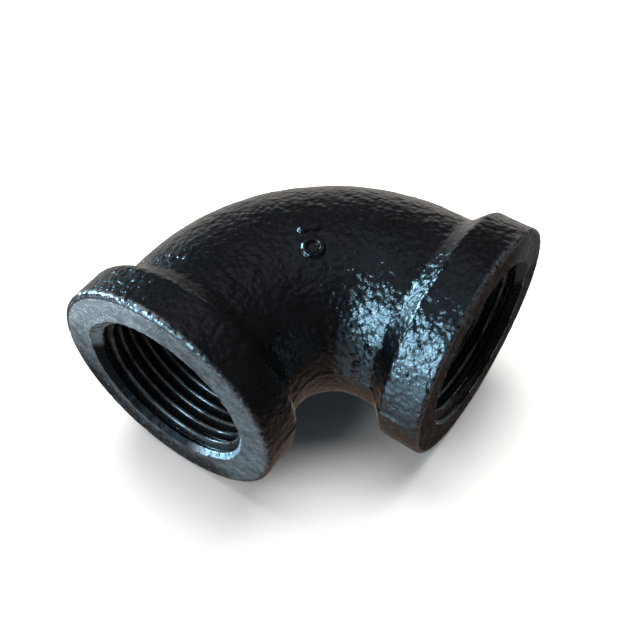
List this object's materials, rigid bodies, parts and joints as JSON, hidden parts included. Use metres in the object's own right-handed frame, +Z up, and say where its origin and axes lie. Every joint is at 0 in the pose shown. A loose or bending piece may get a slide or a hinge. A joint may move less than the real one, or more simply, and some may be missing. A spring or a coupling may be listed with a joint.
{
  "type": "pipe elbow",
  "caption": "Ninety degree banded malleable iron pipe elbow in 3/4 inch size, black finish, internally threaded at both ends.",
  "frame": {"origin": "centre of the elbow's bounding box in plan, at its lowest height, where the two bands rest on the ground. The axes of the two ports cross at x = -7.1 mm, y = 7.1 mm, z = 18.8 mm.", "axes": "+Z up, square to the plane of the two port axes. The inlet port opens towards -Y and the outlet port towards +X."},
  "size_m": [0.0524, 0.0524, 0.0376],
  "materials": {
    "lacquered_iron": "gloss black lacquer over rough as-cast skin, with bare machined end faces and threads"
  },
  "bodies": {
    "root": {"elbow_casting": "lacquered_iron"}
  },
  "joints": []
}
